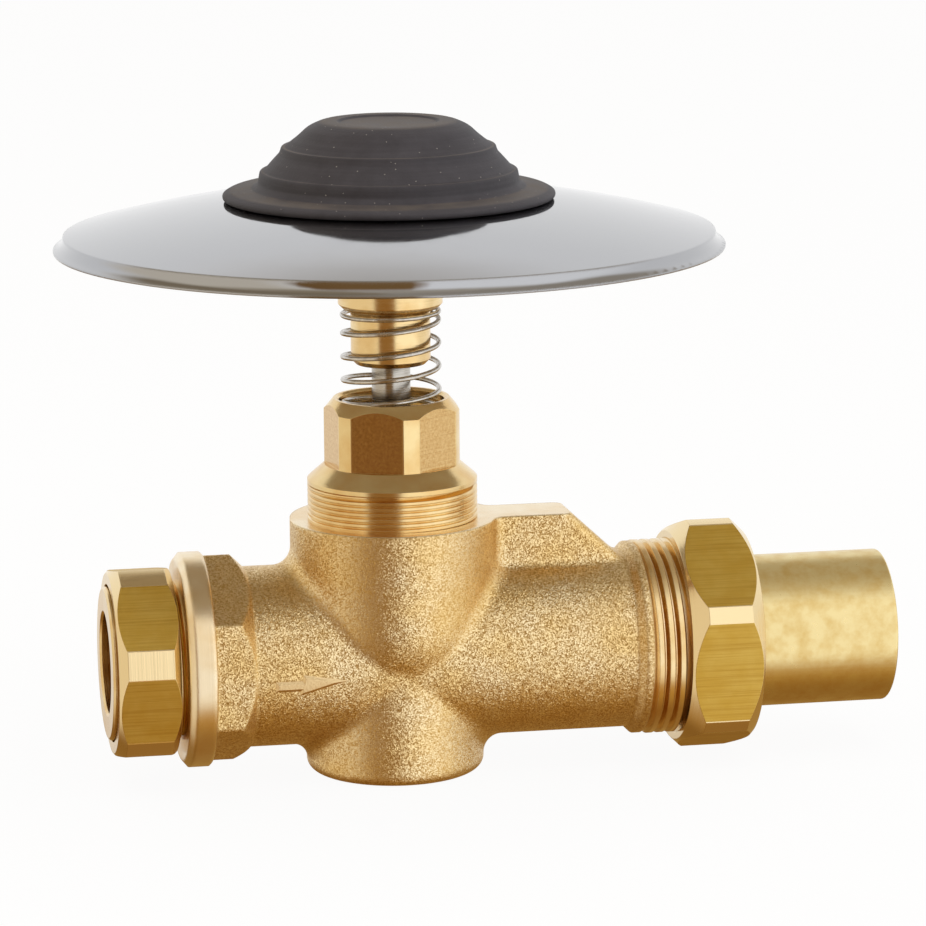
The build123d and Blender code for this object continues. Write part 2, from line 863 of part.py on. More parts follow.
pieces = {
    "valve_body": valve_body(),
    "headwork": headwork(),
    "headwork_gasket": head_gasket(),
    "gland_bush": gland(),
    "stem_seal_upper": stem_seal(upper_seal_bottom),
    "stem_seal_lower": stem_seal(lower_seal_bottom),
    "seal_spacer": seal_spacer(),
    "seat_ring": seat_ring(),
    "seat_o_ring": seat_o_ring(),
    "inlet_screw": inlet_screw(),
    "inlet_ring": inlet_ring(),
    "inlet_olive": inlet_olive(),
    "union_nut": union_nut(),
    "union_gasket": union_gasket(),
    "outlet_tail": outlet_tail(),
    "return_spring": return_spring(),
    "plunger": plunger(),
    "stem": stem(),
    "valve_disc": valve_disc(),
    "valve_washer": valve_washer(),
    "disc_nut": disc_nut(),
    "pedal_plate": pedal_plate(),
    "pad_retainer": pad_retainer(),
    "plate_screw": plate_screw(),
    "pedal_pad": pedal_pad(),
}

os.makedirs("parts", exist_ok=True)
for name, piece in pieces.items():
    export_step(piece, f"parts/{name}.step")
    print(name, round(piece.volume), "mm3")
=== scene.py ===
# %% [markdown]
# # Pedal flush valve
# A foot presses the rubber pad, the chrome plate goes down, and water runs through the brass body.
# The solids come from CAD and stay as they are. This lesson lights them, gives each one its real
# finish, and adds what CAD leaves out: the screw threads, the wound spring, the moulded pad and
# the raised flow arrow. Sizes are written in millimetres and turned to metres where they are used.

# %% Load the solids
from math import cos, pi, radians, sin, sqrt

import bmesh
import bpy
from mathutils import Matrix, Vector


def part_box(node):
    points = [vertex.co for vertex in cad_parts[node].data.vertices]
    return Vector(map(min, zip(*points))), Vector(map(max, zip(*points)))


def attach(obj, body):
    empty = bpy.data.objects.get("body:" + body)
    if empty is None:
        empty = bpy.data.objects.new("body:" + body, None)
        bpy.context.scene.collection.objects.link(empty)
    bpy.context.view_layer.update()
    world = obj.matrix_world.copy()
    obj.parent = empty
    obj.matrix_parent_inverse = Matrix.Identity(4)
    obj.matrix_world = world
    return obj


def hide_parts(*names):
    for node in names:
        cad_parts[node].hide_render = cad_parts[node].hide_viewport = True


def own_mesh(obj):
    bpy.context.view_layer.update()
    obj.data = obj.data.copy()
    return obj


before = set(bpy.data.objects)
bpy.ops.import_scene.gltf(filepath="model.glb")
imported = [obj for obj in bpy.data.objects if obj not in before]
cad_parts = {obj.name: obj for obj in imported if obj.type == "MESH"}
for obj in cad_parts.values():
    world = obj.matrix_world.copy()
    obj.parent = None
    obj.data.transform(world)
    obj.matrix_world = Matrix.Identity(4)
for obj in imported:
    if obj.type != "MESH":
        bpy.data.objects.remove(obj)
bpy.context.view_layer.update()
scene = bpy.context.scene
MM = 0.001

# %% [markdown]
# ## Camera
# The photograph was taken with a long lens, a little above the pipe and a little to its left.
# The place, aim and small roll below were worked out from points that are known on the object,
# such as the ends of the pipe axis and the stem, so the render lies over the photograph.

# %% Camera at the photograph's angle
EYE = Vector((-134.6, -799.016, 218.64)) * MM
AIM = Vector((7.96, -27.65, 61.60)) * MM
ROLL = radians(-0.4663)
LENS = 177.41                 # on a 36 mm wide square frame

camera = bpy.data.objects.new("camera", bpy.data.cameras.new("camera"))
scene.collection.objects.link(camera)
camera.data.sensor_width = 36.0
camera.data.lens = LENS
aim_turn = (AIM - EYE).to_track_quat("-Z", "Y").to_matrix().to_4x4()
camera.matrix_world = Matrix.Translation(EYE) @ aim_turn @ Matrix.Rotation(ROLL, 4, "Z")
scene.camera = camera
print("camera", round((AIM - EYE).length / MM), "mm from its aim")

# %% [markdown]
# ## Colours and nodes
# Colours are written as sRGB hex, the way a colour chart gives them. Blender's shaders reckon in
# linear light, so one function turns the hex into that. One more function adds a node, sets it and
# links it. It hands back the node's first output, because that is what the next node takes, or the
# output that is asked for. The kinds of node, and the settings, that come up most get a short name.

# %% Two helpers
def linear(hex_colour):
    """The linear RGBA of an sRGB hex colour."""
    parts = [int(hex_colour[i:i + 2], 16) / 255 for i in (1, 3, 5)]
    return tuple(c / 12.92 if c <= 0.04045 else ((c + 0.055) / 1.055) ** 2.4 for c in parts) + (1.0,)


def add(tree, kind, inputs=None, out=0, **settings):
    """Adds a node with its settings; an input is a value, a hex colour or another node's output."""
    node = tree.nodes.new(kind)
    for name, value in settings.items():
        setattr(node, name, value)
    for socket, value in (inputs or {}).items():
        if isinstance(value, bpy.types.NodeSocket):
            tree.links.new(value, node.inputs[socket])
        else:
            node.inputs[socket].default_value = linear(value) if isinstance(value, str) else value
    return node.outputs[out] if node.outputs else node


MATH, VECTOR, SPLIT = "ShaderNodeMath", "ShaderNodeVectorMath", "ShaderNodeSeparateXYZ"
RANGE, NOISE = "ShaderNodeMapRange", "ShaderNodeTexNoise"
MIX, FIRST, SECOND = "ShaderNodeMix", 6, 7                  # a mix and its two colours
COLOURS = dict(data_type="RGBA", out=2)                     # makes it a mix of colours
SMOOTH = dict(interpolation_type="SMOOTHSTEP")              # a range with soft ends
SPREAD = {"From Min": 0.3, "From Max": 0.7}                 # where nearly all of a noise lies
BAND = {"From Min": 0.35, "From Max": 0.65}                 # narrower, so that patches stand out
HIGH = {"From Min": 0.40, "From Max": 0.75}                 # the higher values only, for a few stains
print("brass on the colour chart", [round(c, 3) for c in linear("#f0e0b0")[:3]])

# %% [markdown]
# ## Light
# Polished metal shows the room it stands in. The photograph's brass has two broad bright bands with
# a dark band between them: two tall soft boxes left and right of the camera, and the dark gap where
# the camera stands. Overhead is dim and grey, and underfoot is dark. The world draws that room by
# direction, because a lamp close by would not give such even bands. Each half of the room is a stack
# of layers from the floor up: the height at which a layer starts, where it is full, and its colour.

# %% Studio room in the world
DARK_FLOOR = "#8a693a"
FRONT = [(-86, -55, "#b08c48"), (-54, -30, "#ffffff"), (48, 76, "#b5ab9c")]
BACK = [(-70, -30, "#9a7b46"), (-22, -6, "#ffffff"), (27, 44, "#a69d90")]
GAP_CENTRE = (-0.358, -0.934, 0.0)      # from the object towards the gap beside the camera
GAP_HALF, GAP_SOFT = 23.0, 4.0          # degrees, half its width and the fade of its edge
GAP_COLOUR = "#86663f"
LEFT_BOX = (-0.934, 0.358, 0.0)         # from the object towards the left box
LEFT_SHARE = "#ddd3c2"                  # the left box stands further off and is dimmer
BOX_LIGHT = 1.22

world = bpy.data.worlds.new("studio")
scene.world = world
world.use_nodes = True
room = world.node_tree
room.nodes.clear()
direction = add(room, "ShaderNodeTexCoord", out="Generated")
height = add(room, SPLIT, {0: direction}, out="Z")
level = add(room, VECTOR, {0: direction, 1: (1, 1, 0)}, operation="MULTIPLY")
level = add(room, VECTOR, {0: level}, operation="NORMALIZE")
toward_gap = add(room, VECTOR, {0: level, 1: GAP_CENTRE}, out="Value", operation="DOT_PRODUCT")


def stacked(layers):
    """The colour of one half of the room at every height, and how far each layer has started."""
    colour, starts = linear(DARK_FLOOR), []
    for start, full, layer in layers:
        rise = add(room, RANGE, {"Value": height, "From Min": sin(radians(start)),
                                 "From Max": sin(radians(full))}, **SMOOTH)
        colour = add(room, MIX, {0: rise, FIRST: colour, SECOND: layer}, **COLOURS)
        starts.append(rise)
    return colour, starts


front, front_starts = stacked(FRONT)
back, back_starts = stacked(BACK)
print("room of", len(FRONT) + len(BACK), "layers, gap of", 2 * GAP_HALF, "degrees")

# %% [markdown]
# The gap beside the camera cuts the front half below the ceiling. Behind the object the paper is
# white: for the camera everywhere, and for what metal and glass show between the floor and the top
# edge of the paper.

# %% Gap and white paper
BACK_STARTS, BACK_FULL = 0.1, -0.4      # cosines from the gap between which the back half takes over
LEFT_STARTS, LEFT_FULL = 0.1, 0.6       # cosines from the left box between which its share comes in

gap = add(room, RANGE, {"Value": toward_gap, "From Min": cos(radians(GAP_HALF + GAP_SOFT)),
                        "From Max": cos(radians(GAP_HALF - GAP_SOFT))}, **SMOOTH)
under_ceiling = add(room, MATH, {0: 1.0, 1: front_starts[2]}, operation="SUBTRACT")
gap = add(room, MATH, {0: gap, 1: under_ceiling}, operation="MULTIPLY")
front = add(room, MIX, {0: gap, FIRST: front, SECOND: GAP_COLOUR}, **COLOURS)
behind = add(room, RANGE, {"Value": toward_gap, "From Min": BACK_STARTS, "From Max": BACK_FULL}, **SMOOTH)
studio = add(room, MIX, {0: behind, FIRST: front, SECOND: back}, **COLOURS)
toward_left = add(room, VECTOR, {0: level, 1: LEFT_BOX}, out="Value", operation="DOT_PRODUCT")
left = add(room, RANGE, {"Value": toward_left, "From Min": LEFT_STARTS, "From Max": LEFT_FULL})
studio = add(room, MIX, {0: left, FIRST: studio, SECOND: LEFT_SHARE}, **COLOURS, blend_type="MULTIPLY")
rays = add(room, "ShaderNodeLightPath").node.outputs
paper_band = add(room, MATH, {0: back_starts[1], 1: back_starts[2]}, operation="SUBTRACT")
paper_band = add(room, MATH, {0: paper_band, 1: behind}, operation="MULTIPLY")
mirrored = add(room, MATH, {0: rays["Is Glossy Ray"], 1: rays["Is Transmission Ray"]},
               operation="MAXIMUM")
mirrored = add(room, MATH, {0: mirrored, 1: paper_band}, operation="MULTIPLY")
white = add(room, MATH, {0: mirrored, 1: rays["Is Camera Ray"]}, operation="MAXIMUM")
boxes = add(room, "ShaderNodeBackground", {"Color": studio, "Strength": BOX_LIGHT})
paper = add(room, "ShaderNodeBackground", {"Color": "#ffffff", "Strength": 1.0})
seen = add(room, "ShaderNodeMixShader", {0: white, 1: boxes, 2: paper})
add(room, "ShaderNodeOutputWorld", {"Surface": seen})
print("studio world with", len(room.nodes), "nodes")

# %% [markdown]
# One large lamp overhead lifts the dull surfaces, the rubber and the floor, to their written
# colours. It is kept out of reflections, where it would put a spot on every rounded brass edge.
# The floor is a pale sheet that shows as nearly white, and keeps a soft shadow under the foot.

# %% Overhead lamp and floor
LAMP_POWER, LAMP_SIZE = 4.0, 0.9        # watts and metres
LAMP_PLACE = (0.0, -0.15, 1.0)          # metres, above the pedal and a little to the front
FLOOR_RADIUS = 3.0                      # metres
FLOOR_DROP = 0.1 * MM                   # keeps the sheet just clear of the foot
FLOOR_GLOW = 0.94                       # share of plain white in what the camera sees of the floor

lamp = bpy.data.objects.new("overhead", bpy.data.lights.new("overhead", "AREA"))
scene.collection.objects.link(lamp)
lamp.data.size = LAMP_SIZE
lamp.data.energy = LAMP_POWER
lamp.location = LAMP_PLACE
lamp.visible_glossy = False

floor_mesh = bpy.data.meshes.new("floor")
sheet = bmesh.new()
bmesh.ops.create_circle(sheet, cap_ends=True, segments=64, radius=FLOOR_RADIUS)
sheet.to_mesh(floor_mesh)
sheet.free()
floor = bpy.data.objects.new("floor", floor_mesh)
floor.location.z = -FLOOR_DROP
floor.visible_glossy = False
scene.collection.objects.link(floor)

paper_floor = bpy.data.materials.new("white_paper")
paper_floor.use_nodes = True
tree = paper_floor.node_tree
tree.nodes.clear()
rays = add(tree, "ShaderNodeLightPath").node.outputs
shown = add(tree, MATH, {0: rays["Is Camera Ray"], 1: rays["Is Glossy Ray"]}, operation="MAXIMUM")
shown = add(tree, MATH, {0: shown, 1: rays["Is Transmission Ray"]}, operation="MAXIMUM")
share = add(tree, MATH, {0: shown, 1: FLOOR_GLOW}, operation="MULTIPLY")
lit = add(tree, "ShaderNodeBsdfDiffuse", {"Color": "#f4f2ee"})
glow = add(tree, "ShaderNodeEmission", {"Color": "#ffffff", "Strength": 1.0})
both = add(tree, "ShaderNodeMixShader", {0: share, 1: lit, 2: glow})
add(tree, "ShaderNodeOutputMaterial", {"Surface": both})
floor_mesh.materials.append(paper_floor)
scene.view_settings.view_transform = "Standard"
print("floor of", 2 * FLOOR_RADIUS, "m across")

# %% [markdown]
# ## Finishes
# Every finish starts the same way: a new material with the standard shader, and the place on the
# object in millimetres, so that a grain of 0.4 mm can be written as 1 / 0.4. The solids sit at the
# origin, so Object coordinates are the object's own frame and no pattern slides when it moves. It
# also ends the same way: tone and roughness are fed to the shader, and a bump of a real depth lies over
# edges that are softly broken, as those of worked metal are.

# %% Start and end of a finish
def finish(name, **sockets):
    """A material with its tree, its shader, and the place on the object in millimetres."""
    material = bpy.data.materials.new(name)
    material.use_nodes = True
    tree = material.node_tree
    tree.nodes.clear()
    standard = {socket.replace("_", " "): value for socket, value in sockets.items()}
    shader = add(tree, "ShaderNodeBsdfPrincipled", standard).node
    add(tree, "ShaderNodeOutputMaterial", {"Surface": shader.outputs[0]})
    place = add(tree, "ShaderNodeTexCoord", out="Object")
    mm = add(tree, VECTOR, {0: place, "Scale": 1 / MM}, operation="SCALE")
    return material, tree, shader, mm


def feed(tree, shader, **outputs):
    """Links each output to the shader's input of that name."""
    for name, output in outputs.items():
        tree.links.new(output, shader.inputs[name.replace("_", " ")])


def relief(tree, shader, height, depth, edge, tilt=(0.0, 0.0, 0.0)):
    """Bump of that depth over edges broken by that radius, both in millimetres, and facets tilted."""
    broken = add(tree, "ShaderNodeBevel", {"Radius": edge * MM}, samples=6)
    tilted = add(tree, VECTOR, {0: broken, 1: tilt}, operation="ADD")
    tilted = add(tree, VECTOR, {0: tilted}, operation="NORMALIZE")
    bump = add(tree, "ShaderNodeBump", {"Height": height, "Distance": depth * MM, "Normal": tilted})
    feed(tree, shader, Normal=bump)


ALONG_PIPE, ALONG_STEM = (1.0, 0.01, 0.01), (0.01, 0.01, 1.0)     # lathe lines step along the axis
print("finishes start on Object coordinates")

# %% [markdown]
# ### Sand-cast brass
# The body was poured in sand and shot-blasted: every grain of sand left a tiny facet, so it sparkles
# in a fine tan grain and never mirrors. The facets are tilted at random, and their sparkle is also
# painted: each facet's tone is painted lighter or darker, as a glint or a shade, and painted shade
# dims the hollows between lumps. A facet is about as wide as a grain of foundry sand. The boss top
# and rib top were faced on a mill, and the inlet flange was turned on a lathe: those places are
# smoother, pinker and show fine tool lines. Each is found by where it lies on the object.

# %% Sand grain
SAND_GRAIN = 0.2              # mm
FACET_TILT = 0.3              # share of the normal by which facets differ
LUMP, PATCH = 1.4, 9.0        # mm, unevenness of the sand and clouds of tone
LUMP_SHARE = 0.8              # height of the lumps beside that of the grains
LUMP_SHADE = 0.88             # painted shade: share of the glints left in the hollows between lumps
DULL_FACET, BRIGHT_FACET = 0.44, 0.30   # roughness

cast_brass, tree, shader, mm = finish("sand_cast_brass", Metallic=1.0)
grains = add(tree, "ShaderNodeTexVoronoi", {"Vector": mm, "Scale": 1 / SAND_GRAIN}).node.outputs
facet = add(tree, "ShaderNodeSeparateColor", {0: grains["Color"]}, out="Red")
lumps = add(tree, NOISE, {"Vector": mm, "Scale": 1 / LUMP, "Detail": 4.0, "Roughness": 0.6})
patches = add(tree, NOISE, {"Vector": mm, "Scale": 1 / PATCH, "Detail": 3.0})
patch = add(tree, RANGE, {"Value": patches, **BAND})
painted_hollow_shade = add(tree, RANGE, {"Value": lumps, **SPREAD, "To Min": LUMP_SHADE, "To Max": 1.0})
# Painted glints and shade: each facet is painted lighter or darker at random, as if it caught the light
# or lay in shade, and it is painted darker still in the hollows between lumps.
bright = add(tree, RANGE, {"Value": facet, "From Max": 0.9})
bright = add(tree, MATH, {0: bright, 1: painted_hollow_shade}, operation="MULTIPLY")
cast_tone = add(tree, MIX, {0: patch, FIRST: "#fadda0", SECOND: "#ffecc0"}, **COLOURS)
cast_tone = add(tree, MIX, {0: bright, FIRST: "#c69b52", SECOND: cast_tone}, **COLOURS)
cast_rough = add(tree, RANGE, {"Value": facet, "To Min": DULL_FACET, "To Max": BRIGHT_FACET})
cast_height = add(tree, MATH, {0: lumps, 1: LUMP_SHARE, 2: grains["Distance"]},
                  operation="MULTIPLY_ADD")
print("sand grain of", SAND_GRAIN, "mm on", cast_brass.name)

# %% Machined faces of the casting
FACED_HEIGHT = 46.7           # boss top and rib top lie above this
FLANGE_BACK = -34.9           # the turned inlet flange lies left of this
THREAD_START = 44.75          # the cut outlet thread lies right of this
CUT_ROUGH = 0.27
TOOL_STEP, TOOL_SHARE = 0.3, 0.12       # mm between tool lines, and their depth beside the sand's

parts = add(tree, SPLIT, {0: mm}).node.outputs
faced = add(tree, MATH, {0: parts["Z"], 1: FACED_HEIGHT}, operation="GREATER_THAN")
flange = add(tree, MATH, {0: parts["X"], 1: FLANGE_BACK}, operation="LESS_THAN")
threaded = add(tree, MATH, {0: parts["X"], 1: THREAD_START}, operation="GREATER_THAN")
machined = add(tree, MATH, {0: flange, 1: threaded}, operation="MAXIMUM")
machined = add(tree, MATH, {0: machined, 1: faced}, operation="MAXIMUM")
cut_tone = add(tree, MIX, {0: patch, FIRST: "#eed2a2", SECOND: "#f7e6c4"}, **COLOURS)
tone = add(tree, MIX, {0: machined, FIRST: cast_tone, SECOND: cut_tone}, **COLOURS)
rough = add(tree, MIX, {0: machined, 2: cast_rough, 3: CUT_ROUGH})
round_pipe = add(tree, VECTOR, {0: mm, 1: ALONG_PIPE}, operation="MULTIPLY")
tool_lines = add(tree, NOISE, {"Vector": round_pipe, "Scale": 1 / TOOL_STEP, "Detail": 1.0})
cut_height = add(tree, MATH, {0: tool_lines, 1: TOOL_SHARE}, operation="MULTIPLY")
surface = add(tree, MIX, {0: machined, 2: cast_height, 3: cut_height})
feed(tree, shader, Base_Color=tone, Roughness=rough)
tilt = add(tree, VECTOR, {0: grains["Color"], 1: (0.5, 0.5, 0.5)}, operation="SUBTRACT")
uncut = add(tree, MATH, {0: 1.0, 1: machined}, operation="SUBTRACT")
uncut = add(tree, MATH, {0: uncut, 1: FACET_TILT}, operation="MULTIPLY")
tilt = add(tree, VECTOR, {0: tilt, "Scale": uncut}, operation="SCALE")
relief(tree, shader, surface, depth=0.03, edge=0.9, tilt=tilt)
print("machined above", FACED_HEIGHT, "mm, left of", FLANGE_BACK, "and right of", THREAD_START)

# %% [markdown]
# ### Hexagon bar brass
# The inlet screw and the union nut are cut from drawn hexagon bar. The flats keep the die's fine
# lines along the bar and look olive-gold and dull. The lathe then turned the corners round and cut
# the chamfers, which are bright and cream, with lines around the axis. The corner strips are told
# from the flats by their distance from the pipe axis, the chamfers by the way they face.

# %% Hexagon bar brass for the screw and the nut
PIPE_AXIS = 22.0              # height above the foot
CHAMFER_FACING = 0.12         # a chamfer faces along the pipe by more than this
CORNER_ROOM = 0.1             # mm inside the corner radius that still count as corner
DRAWN_STEP, LATHE_STEP = 0.3, 0.35      # mm between the die's lines and between the lathe's
BAR_STRETCH = (0.012, 1.0, 1.0)         # the die's lines run along the pipe
LATHE_SHARE = 0.5             # depth of the lathe's lines beside the die's
FLAT_ROUGH, TURNED_ROUGH = 0.44, 0.18


def bar_brass(name, corner_radius):
    """Drawn flats with turned corners at that radius from the pipe axis."""
    material, tree, shader, mm = finish(name, Metallic=1.0)
    facing = add(tree, "ShaderNodeTexCoord", out="Normal")
    facing = add(tree, MATH, {0: add(tree, SPLIT, {0: facing}, out="X")}, operation="ABSOLUTE")
    chamfer = add(tree, MATH, {0: facing, 1: CHAMFER_FACING}, operation="GREATER_THAN")
    from_axis = add(tree, VECTOR, {0: mm, 1: (0.0, 0.0, PIPE_AXIS)}, operation="SUBTRACT")
    from_axis = add(tree, VECTOR, {0: from_axis, 1: (0.0, 1.0, 1.0)}, operation="MULTIPLY")
    reach = add(tree, VECTOR, {0: from_axis}, out="Value", operation="LENGTH")
    strip = add(tree, MATH, {0: reach, 1: corner_radius - CORNER_ROOM}, operation="GREATER_THAN")
    turned = add(tree, MATH, {0: strip, 1: chamfer}, operation="MAXIMUM")
    along = add(tree, VECTOR, {0: mm, 1: BAR_STRETCH}, operation="MULTIPLY")
    drawn = add(tree, NOISE, {"Vector": along, "Scale": 1 / DRAWN_STEP, "Detail": 2.0, "Roughness": 0.7})
    round_bar = add(tree, VECTOR, {0: mm, 1: ALONG_PIPE}, operation="MULTIPLY")
    lathe = add(tree, NOISE, {"Vector": round_bar, "Scale": 1 / LATHE_STEP, "Detail": 1.0})
    clouds = add(tree, NOISE, {"Vector": mm, "Scale": 1 / 5.0, "Detail": 4.0})
    cloud = add(tree, RANGE, {"Value": clouds, **BAND})
    line = add(tree, RANGE, {"Value": drawn, "From Min": 0.2, "From Max": 0.55})
    flat = add(tree, MIX, {0: cloud, FIRST: "#d6b04e", SECOND: "#debd5f"}, **COLOURS)
    flat = add(tree, MIX, {0: line, FIRST: "#c49b40", SECOND: flat}, **COLOURS)
    tone = add(tree, MIX, {0: turned, FIRST: flat, SECOND: "#efd8a8"}, **COLOURS)
    rough = add(tree, MIX, {0: turned, 2: FLAT_ROUGH, 3: TURNED_ROUGH})
    lathe = add(tree, MATH, {0: lathe, 1: LATHE_SHARE}, operation="MULTIPLY")
    surface = add(tree, MIX, {0: turned, 2: drawn, 3: lathe})
    feed(tree, shader, Base_Color=tone, Roughness=rough)
    relief(tree, shader, surface, depth=0.025, edge=0.2)
    return material


inlet_bar = bar_brass("hexagon_bar_brass_inlet", corner_radius=18.0)
nut_bar = bar_brass("hexagon_bar_brass_nut", corner_radius=21.95)
print("bar brass:", inlet_bar.name, "and", nut_bar.name)

# %% [markdown]
# ### Turned brass
# The headwork, plunger and rings come off a lathe: a fine cutter line follows another round the
# piece, so highlights draw out across the lines. One function serves both directions, because only
# the axis of the lathe differs.

# %% Turned brass about either axis
def turned_brass(name, steps_along, tone):
    """Lathe lines that step along X or Z, with a few brownish stains; its parts can be added to."""
    material, tree, shader, mm = finish(name, Metallic=1.0)
    stretched = add(tree, VECTOR, {0: mm, 1: steps_along}, operation="MULTIPLY")
    lines = add(tree, NOISE, {"Vector": stretched, "Scale": 1 / 0.25, "Detail": 1.5})
    stains = add(tree, NOISE, {"Vector": mm, "Scale": 1 / 6.0, "Detail": 3.0})
    stain = add(tree, RANGE, {"Value": stains, **HIGH})
    colour = add(tree, MIX, {0: stain, FIRST: tone, SECOND: "#dfb878"}, **COLOURS)
    rough = add(tree, RANGE, {"Value": lines, **SPREAD, "To Min": 0.16, "To Max": 0.26})
    feed(tree, shader, Base_Color=colour, Roughness=rough)
    relief(tree, shader, lines, depth=0.02, edge=0.2)
    return material, tree, shader, mm, colour


pipe_turned = turned_brass("turned_brass_pipe", ALONG_PIPE, "#ecd3a2")[0]
stem_turned = turned_brass("turned_brass_stem", ALONG_STEM, "#f0d6a2")[0]
head_turned, tree, shader, mm, head_tone = turned_brass("turned_brass_headwork", ALONG_STEM, "#ecd39c")
print("turned brass:", pipe_turned.name, stem_turned.name, head_turned.name)

# %% [markdown]
# The headwork's hexagon was milled after turning, so its flats are browner than the rounded corners
# between them, and a little speckled. They stand between two distances from the stem axis.

# %% Milled flats of the headwork
FLATS_LOW = 56.5              # height at which the hexagon starts
FLATS_NEAR, FLATS_FAR = 11.0, 12.25
UPRIGHT_FACING = 0.1          # an upright face looks up or down by less than this
CORNER_ROUGH, FLATS_ROUGH = 0.2, 0.17

parts = add(tree, SPLIT, {0: mm}).node.outputs
level_place = add(tree, VECTOR, {0: mm, 1: (1.0, 1.0, 0.0)}, operation="MULTIPLY")
reach = add(tree, VECTOR, {0: level_place}, out="Value", operation="LENGTH")
facing = add(tree, "ShaderNodeTexCoord", out="Normal")
facing = add(tree, MATH, {0: add(tree, SPLIT, {0: facing}, out="Z")}, operation="ABSOLUTE")
flats = add(tree, MATH, {0: facing, 1: UPRIGHT_FACING}, operation="LESS_THAN")
for value, limit, test in ((parts["Z"], FLATS_LOW, "GREATER_THAN"), (reach, FLATS_NEAR, "GREATER_THAN"),
                           (reach, FLATS_FAR, "LESS_THAN")):
    inside = add(tree, MATH, {0: value, 1: limit}, operation=test)
    flats = add(tree, MATH, {0: flats, 1: inside}, operation="MULTIPLY")
speck = add(tree, NOISE, {"Vector": mm, "Scale": 1 / 0.5, "Detail": 3.0, "Roughness": 0.7})
speckled = add(tree, RANGE, {"Value": speck, **SPREAD})
milled = add(tree, MIX, {0: speckled, FIRST: "#cda468", SECOND: "#e2c188"}, **COLOURS)
tone = add(tree, MIX, {0: flats, FIRST: head_tone, SECOND: milled}, **COLOURS)
rough = add(tree, MIX, {0: flats, 2: CORNER_ROUGH, 3: FLATS_ROUGH})
feed(tree, shader, Base_Color=tone, Roughness=rough)
print("milled flats above", FLATS_LOW, "mm")

# %% [markdown]
# ### Drawn tube brass
# The tail is a length of drawn tube: smoother and yellower than the cast body, with faint lines along
# it and a few brownish water stains.

# %% Drawn tube brass
TUBE_STRETCH = (0.02, 1.0, 1.0)         # the die's lines run along the pipe

tube_brass, tree, shader, mm = finish("drawn_tube_brass", Metallic=1.0)
along = add(tree, VECTOR, {0: mm, 1: TUBE_STRETCH}, operation="MULTIPLY")
draw_lines = add(tree, NOISE, {"Vector": along, "Scale": 1 / 0.5, "Detail": 2.0})
stains = add(tree, NOISE, {"Vector": mm, "Scale": 1 / 3.2, "Detail": 4.0, "Roughness": 0.6})
stain = add(tree, RANGE, {"Value": stains, **HIGH})
tone = add(tree, MIX, {0: stain, FIRST: "#ecd89e", SECOND: "#e0c078"}, **COLOURS)
rough = add(tree, RANGE, {"Value": stains, **SPREAD, "To Min": 0.27, "To Max": 0.35})
feed(tree, shader, Base_Color=tone, Roughness=rough)
relief(tree, shader, draw_lines, depth=0.01, edge=0.3)
print("drawn lines along the pipe on", tube_brass.name)

# %% [markdown]
# ### Chrome plating
# The pressed plate is nickel and chrome plated: a grey mirror. It is never quite clean, so a very
# faint haze of rubbing marks softens what it reflects. Only the upper side was polished and plated
# bright, so the underside is a pale matt grey, which lights the brass below it. The press drew the
# edge over a soft curve, which the rounding of the normals gives.

# %% Chrome plating
UNDER, EDGE = -0.4, -0.1      # how far a face looks down, from the matt underside to the bright edge
UNDER_ROUGH, UNDER_METAL = 0.5, 0.2

chrome, tree, shader, mm = finish("chrome_plating")
haze = add(tree, NOISE, {"Vector": mm, "Scale": 1 / 5.0, "Detail": 4.0})
polish = add(tree, RANGE, {"Value": haze, "From Min": 0.35, "From Max": 0.75,
                           "To Min": 0.05, "To Max": 0.11})
facing = add(tree, SPLIT, {0: add(tree, "ShaderNodeTexCoord", out="Normal")}, out="Z")
matt = add(tree, RANGE, {"Value": facing, "From Min": UNDER, "From Max": EDGE,
                         "To Min": UNDER_ROUGH, "To Max": 0.0})
rough = add(tree, MATH, {0: polish, 1: matt}, operation="MAXIMUM")
plated = add(tree, RANGE, {"Value": facing, "From Min": UNDER, "From Max": EDGE,
                           "To Min": UNDER_METAL, "To Max": 1.0})
tone = add(tree, MIX, {0: plated, FIRST: "#bdb8ae", SECOND: "#afb0b3"}, **COLOURS)
feed(tree, shader, Base_Color=tone, Roughness=rough, Metallic=plated)
relief(tree, shader, haze, depth=0.002, edge=0.8)
print("grey mirror on", chrome.name)

# %% [markdown]
# ### Steel
# The spring is bright drawn wire. The stem is ground stainless bar, satin, with lines around it.
# The hidden screw and retainer are zinc plated, with a faint spangle. The three differ only in the
# grain, its stretch, two tones and the roughness, so one table describes them.

# %% Steels
steels = {}
for name, size, stretch, dark, bright, smooth, dull, depth in (
        ("spring_wire_steel", 1.5, (1.0, 1.0, 1.0), "#b9b4ad", "#dad6d0", 0.18, 0.28, 0.004),
        ("ground_stainless_steel", 0.3, ALONG_STEM, "#b4afa7", "#d0ccc4", 0.20, 0.30, 0.012),
        ("zinc_plated_steel", 1.2, (1.0, 1.0, 1.0), "#9fa3a6", "#c3c6c8", 0.30, 0.42, 0.004)):
    steels[name], tree, shader, mm = finish(name, Metallic=1.0)
    stretched = add(tree, VECTOR, {0: mm, 1: stretch}, operation="MULTIPLY")
    marks = add(tree, NOISE, {"Vector": stretched, "Scale": 1 / size, "Detail": 3.0})
    mark = add(tree, RANGE, {"Value": marks, **SPREAD})
    tone = add(tree, MIX, {0: mark, FIRST: dark, SECOND: bright}, **COLOURS)
    rough = add(tree, RANGE, {"Value": marks, **SPREAD, "To Min": smooth, "To Max": dull})
    feed(tree, shader, Base_Color=tone, Roughness=rough)
    relief(tree, shader, marks, depth, edge=0.1)
print("steels:", *steels)

# %% [markdown]
# ### Moulded rubber
# The pad is moulded from dark grey rubber. Its mould was turned, so faint rings run round it, and the
# skin is dull, lighter and browner in patches where its faces look up, with a sprinkle of pale dust.

